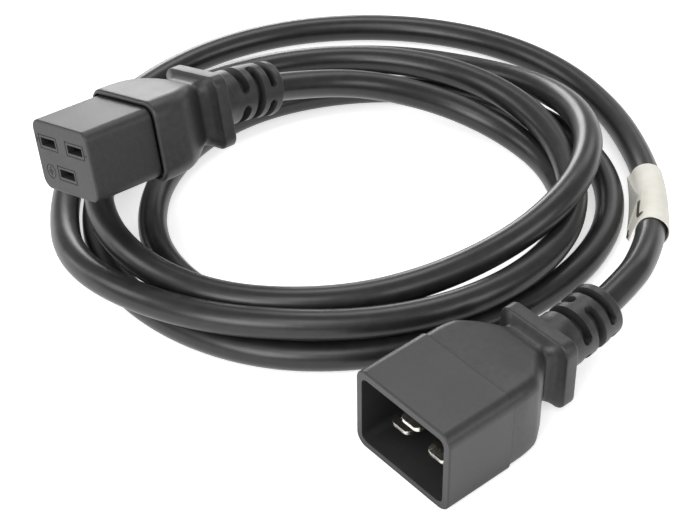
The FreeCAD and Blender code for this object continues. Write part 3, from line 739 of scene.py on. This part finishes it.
class Sleeve:
    def __init__(self, line, fromEnd, length):
        self.line = line
        self.reached = [0.0]
        for a, b in zip(line, line[1:]):
            self.reached.append(self.reached[-1] + (b - a).length / mm)
        self.start = self.reached[-1] - fromEnd - length
        self.length = length

    def point(self, share, across, height):
        s = self.start + self.length * share
        k = max(j for j in range(len(self.reached) - 1) if self.reached[j] <= s)
        t = (s - self.reached[k]) / (self.reached[k + 1] - self.reached[k])
        heading = (self.line[k + 1] - self.line[k]).normalized()
        side = heading.cross(Vector((0, 0, 1))).normalized()
        up = side.cross(heading).normalized()
        return self.line[k].lerp(self.line[k + 1], t) + (side * across + up * height) * mm


def flagTip(share):
    past = max(0.0, share - label["roundFrom"]) / (1 - label["roundFrom"])
    shrink = 1 - label["roundBy"] * (1 - math.sqrt(max(0.0, 1 - past ** 2)))
    return [between(a, b, share) * shrink for a, b in zip(label["tipFirst"], label["tipLast"])]


# Above the sleeve, or on the flat ply that leaves it for the flag's tip.
def wrapPoint(share, angle, lift):
    radius = label["radius"] + lift
    tipX, tipZ = flagTip(share)
    reach = math.hypot(tipX, tipZ)
    away = math.degrees(math.atan2(tipZ, tipX))
    leave = away + math.degrees(math.acos(label["radius"] / reach))
    slip = label["loose"] * share ** 2
    x, z = radius * math.cos(math.radians(angle)), radius * math.sin(math.radians(angle))
    if angle < leave:
        a = math.radians(leave)
        k = min(1.0, (leave - angle) / (leave - away))
        bow = label["bow"] * math.sin(math.pi * k) * (share - label["bowFrom"])
        x = between(radius * math.cos(a), tipX + lift * math.cos(a), k) + bow * math.cos(a)
        z = between(radius * math.sin(a), tipZ + lift * math.sin(a), k) + bow * math.sin(a)
    return sleeve.point(share, x - slip, z)


def sleeveBody():
    outer, inner = [], []
    for i in range(label["steps"] + 1):
        share = i / label["steps"]
        outRing, inRing = [], []
        for k in range(label["around"]):
            a = 2 * math.pi * k / label["around"]
            wave = math.sin(3 * a + 5 * share) + label["secondWave"] * math.sin(7 * share + 2 * a)
            gape = label["gape"] * share ** 3 * max(0.0, math.cos(a - math.radians(label["gapeAt"])))
            radius = label["radius"] + label["crumple"] * wave + gape
            slip = label["loose"] * share ** 2
            for ring, r in ((outRing, radius), (inRing, radius - label["wall"])):
                ring.append(sleeve.point(share, r * math.cos(a) - slip, r * math.sin(a)))
        outer.append(outRing)
        inner.append(inRing)
    rings = outer + inner[::-1]
    return meshFromRings(rings + [rings[0]], False)


def flagBody():
    rings = []
    count = label["flagSteps"]
    for i in range(label["steps"] + 1):
        share = label["flagStart"] + label["flagSpan"] * i / label["steps"]
        tipX, tipZ = flagTip(share)
        away = math.degrees(math.atan2(tipZ, tipX))
        angles = [between(away + label["flagWrap"], away, k / count) for k in range(count + 1)]
        upper = [wrapPoint(share, a, label["flagLift"]) for a in angles]
        under = [wrapPoint(share, a, -label["ply"]) for a in angles]
        rings.append(upper + under[::-1])
    return meshFromRings(rings)


def foldBody():
    f = label["fold"]
    count = f["steps"]
    rings = []
    for i in range(label["steps"] + 1):
        share = between(f["first"], f["last"], i / label["steps"])
        before = (share - f["first"]) / (f["peak"] - f["first"])
        after = (f["last"] - share) / (f["last"] - f["peak"])
        rise = max(0.0, min(before, after))
        tipX, tipZ = flagTip(share)
        away = math.degrees(math.atan2(tipZ, tipX))
        top = between(away + f["least"], f["top"], rise)
        edge = [between(away, top, k / count) for k in range(count + 1)]
        humps = [4 * k / count * (1 - k / count) * rise for k in range(count + 1)]
        outside = [wrapPoint(share, a, f["outside"] + label["ply"] + f["lift"] * h)
                   for a, h in zip(edge, humps)]
        inside = [wrapPoint(share, a, f["inside"] + f["lift"] * h * f["insideShare"])
                  for a, h in zip(edge, humps)]
        rings.append(outside + inside[::-1])
    return meshFromRings(rings)


def inkBody():
    bm = bmesh.new()
    count = label["inkSteps"]
    for mark in label["ink"]:
        path = []
        for (u0, a0), (u1, a1) in zip(mark, mark[1:]):
            path += [(between(u0, u1, k / count), between(a0, a1, k / count)) for k in range(count)]
        path.append(mark[-1])
        spots = [wrapPoint(u, a, label["inkLift"]) for u, a in path]
        above = [wrapPoint(u, a, label["inkLift"] + 1) for u, a in path]
        last = None
        for k, spot in enumerate(spots):
            ahead = spots[min(k + 1, len(spots) - 1)] - spots[max(k - 1, 0)]
            across = ahead.cross(above[k] - spot).normalized() * (label["inkWidth"] * 0.5 * mm)
            pair = (bm.verts.new(spot - across), bm.verts.new(spot + across))
            if last:
                bm.faces.new((last[0], last[1], pair[1], pair[0]))
            last = pair
    return bm


sleeve = Sleeve(cordLine, label["fromEnd"], label["length"])
wrap = joinMeshes(sleeveBody(), flagBody())
labelPiece = addPiece("cableLabel", wrap, "label_paper", label["sharp"])
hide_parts("cable_label")
# The folded ply takes the darker film, painted shade.
labelFold = addPiece("labelFold", foldBody(), "label_paper", label["sharp"], labelFilmShaded)
labelPrint = addPiece("labelPrint", inkBody(), "label_paper", label["sharp"], printInk)
print("label wrapped")


cordPiece.data.materials.append(materials["cable_black"])
slotOf = {s["node"]: s["material_slot"] for s in frame["record"]["subparts"]}
for name, obj in nodes.items():
    for slot in obj.material_slots:
        slot.material = materials[slotOf[name]]


stage = {
    "floorHeight": -0.0401, "size": 6.0, "grey": 0.86, "roughness": 0.7, "tableGlow": 0.6,
    "worldLight": 0.3, "worldInGloss": 0.42, "lampsAimAt": (-0.08, 0.05, -0.03),
}
# Heading from +X towards +Y and height above the table in degrees, distance and size in metres.
lamps = {
    "overhead": {"heading": 40, "climb": 58, "away": 1.3, "size": 0.6, "power": 3.2},
    "rightFront": {"heading": 21, "climb": 30, "away": 1.3, "size": 0.7, "power": 8.7},
    "leftFront": {"heading": 105, "climb": 30, "away": 1.3, "size": 0.6, "power": 3.8},
    "leftBack": {"heading": 195, "climb": 30, "away": 1.3, "size": 0.6, "power": 1.8},
    "backHigh": {"heading": 220, "climb": 58, "away": 1.3, "size": 0.6, "power": 3.4},
    "backLow": {"heading": 240, "climb": 9, "away": 1.3, "size": 0.5, "power": 4.6},
    "rightSide": {"heading": 322, "climb": 32, "away": 1.3, "size": 0.6, "power": 3.5},
    "rightLow": {"heading": 302, "climb": 9, "away": 1.3, "size": 0.4, "power": 1.4},
}


# 1 for any of these kinds of ray, otherwise 0.
def seenRays(tree, *kinds):
    rays = tree.nodes.new("ShaderNodeLightPath")
    seen = rays.outputs[kinds[0]]
    for kind in kinds[1:]:
        seen = addMath(tree.nodes, tree.links, "MAXIMUM", seen, rays.outputs[kind])
    return seen


def makeFloor():
    half = stage["size"] / 2
    mesh = bpy.data.meshes.new("floor")
    z = stage["floorHeight"]
    corners = [(-half, -half, z), (half, -half, z), (half, half, z), (-half, half, z)]
    mesh.from_pydata(corners, [], [(0, 1, 2, 3)])
    obj = bpy.data.objects.new("floor", mesh)
    bpy.context.collection.objects.link(obj)
    mat, tree, shader, _ = startMaterial("paleTable", {})
    shader.inputs["Base Color"].default_value = (stage["grey"],) * 3 + (1,)
    shader.inputs["Roughness"].default_value = stage["roughness"]
    seen = seenRays(tree, "Is Camera Ray", "Is Transmission Ray", "Is Glossy Ray")
    glow = addMath(tree.nodes, tree.links, "MULTIPLY", seen, stage["tableGlow"])
    shader.inputs["Emission Color"].default_value = (1, 1, 1, 1)
    tree.links.new(glow, shader.inputs["Emission Strength"])
    mesh.materials.append(mat)


def makeWorld():
    world = bpy.data.worlds.new("softStudio")
    bpy.context.scene.world = world
    world.use_nodes = True
    tree = world.node_tree
    background = tree.nodes["Background"]
    inGloss = seenRays(tree, "Is Glossy Ray")
    level = addRamp(tree.nodes, tree.links, inGloss, 0, 1, stage["worldLight"], stage["worldInGloss"])
    seen = seenRays(tree, "Is Camera Ray", "Is Transmission Ray")
    level = addMath(tree.nodes, tree.links, "MAXIMUM", level, seen)
    background.inputs["Color"].default_value = (1, 1, 1, 1)
    tree.links.new(level, background.inputs["Strength"])


def makeLamps():
    aim = Vector(stage["lampsAimAt"])
    for name, lamp in lamps.items():
        data = bpy.data.lights.new(name, "AREA")
        data.energy = lamp["power"]
        data.shape = "DISK"
        data.size = lamp["size"]
        obj = bpy.data.objects.new(name, data)
        bpy.context.collection.objects.link(obj)
        around, climb = math.radians(lamp["heading"]), math.radians(lamp["climb"])
        way = Vector((math.cos(around) * math.cos(climb), math.sin(around) * math.cos(climb),
                      math.sin(climb)))
        obj.location = aim + way * lamp["away"]
        obj.rotation_mode = "QUATERNION"
        obj.rotation_quaternion = (-way).to_track_quat("-Z", "Y")


makeFloor()
makeWorld()
makeLamps()
bpy.context.scene.view_settings.view_transform = "Standard"
print("stage and lights set")
